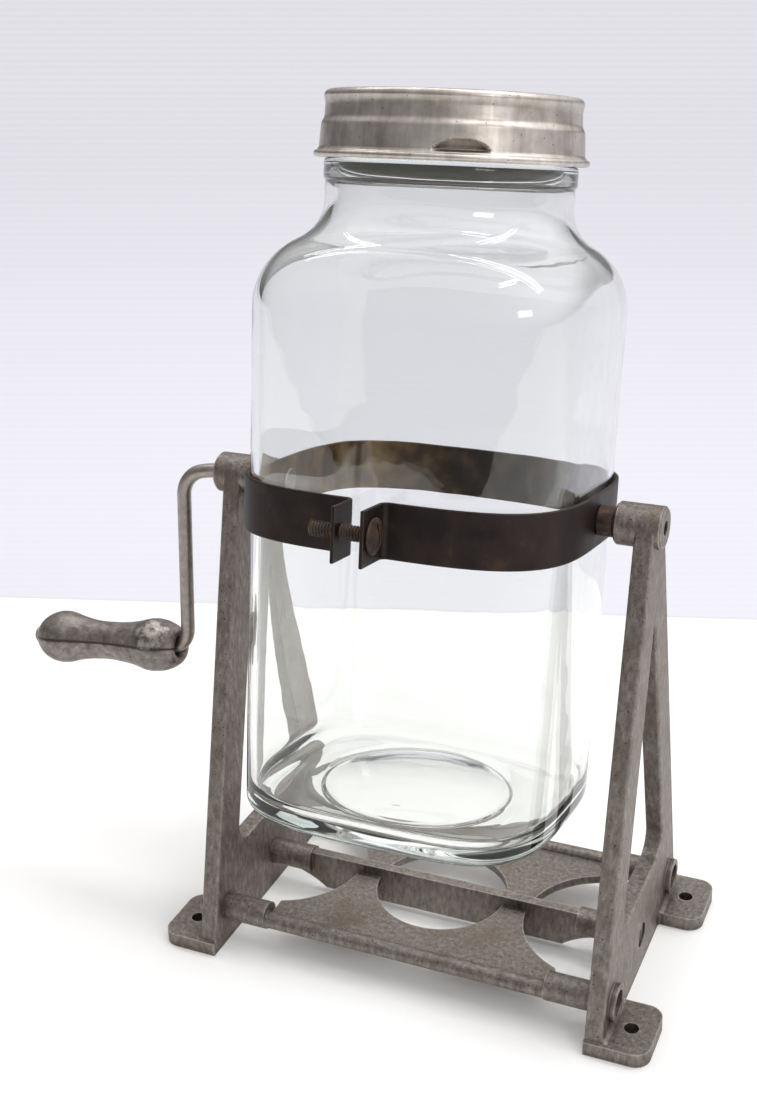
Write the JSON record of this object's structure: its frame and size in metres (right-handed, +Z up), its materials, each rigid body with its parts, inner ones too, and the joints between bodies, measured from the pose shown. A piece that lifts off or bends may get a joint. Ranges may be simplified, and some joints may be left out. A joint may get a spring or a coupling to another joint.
{
  "type": "tumbling butter churn",
  "caption": "Hand-cranked tumbling butter churn: a square glass jar with a screw lid in a steel band, turning on trunnions between cast A-shaped side frames.",
  "frame": {"origin": "on the floor, in the centre of the four screw holes in the feet", "axes": "+X along the trunnions away from the crank, -Y the front, where the band's clamp screw is, +Z up"},
  "size_m": [0.3197, 0.1651, 0.3818],
  "materials": {
    "casting": "as cast, dulled",
    "steel_dark": "bare steel, browned",
    "steel_screw": "bare steel, dulled",
    "steel_rod": "bare steel, dulled",
    "collar_steel": "bare steel, rusted",
    "glass": "clear, faintly green",
    "rubber_ring": "dull",
    "waxed_board": "waxed",
    "lid_metal": "worn, lightly brushed",
    "grip_casting": "as cast, dulled"
  },
  "bodies": {
    "stand": {"left_side_frame": "casting", "right_side_frame": "casting", "base_casting": "casting", "front_tie_screws": "steel_screw", "middle_tie_screws": "steel_screw", "rear_tie_screws": "steel_screw"},
    "cradle": {"jar": "glass", "clamp_band": "steel_dark", "clamp_screw": "steel_dark", "left_trunnion_collar": "collar_steel", "right_trunnion_collar": "collar_steel", "right_trunnion_pin": "steel_rod", "crank_rod": "steel_rod"},
    "grip": {"crank_grip": "grip_casting"},
    "seal": {"sealing_ring": "rubber_ring"},
    "liner": {"lid_liner": "waxed_board"},
    "lid": {"lid_shell": "lid_metal"}
  },
  "joints": [
    {"name": "tumble", "type": "hinge", "parent": "stand", "child": "cradle", "pos_m": [0, 0, 0.2138], "axis": [1, 0, 0], "continuous": true},
    {"name": "grip_spin", "type": "hinge", "parent": "cradle", "child": "grip", "pos_m": [-0.1206, -0.00985, 0.12736], "axis": [-0.9965, -0.0095, -0.0831], "continuous": true},
    {"name": "lid_lift", "type": "slide", "parent": "cradle", "child": "seal", "axis": [0, 0.185, 0.9827], "range_m": [0, 0.019]},
    {"name": "lid_rise", "type": "slide", "parent": "seal", "child": "liner", "axis": [0, 0.185, 0.9827], "range_m": [0, 0.003]},
    {"name": "lid_turn", "type": "hinge", "parent": "liner", "child": "lid", "pos_m": [0, 0.02775, 0.36121], "axis": [0, 0.185, 0.9827], "range_deg": [0, 90]}
  ],
  "couplings": [
    {"joint": "lid_rise", "follows": "lid_turn", "m_per_rad": 0.0019098}
  ]
}
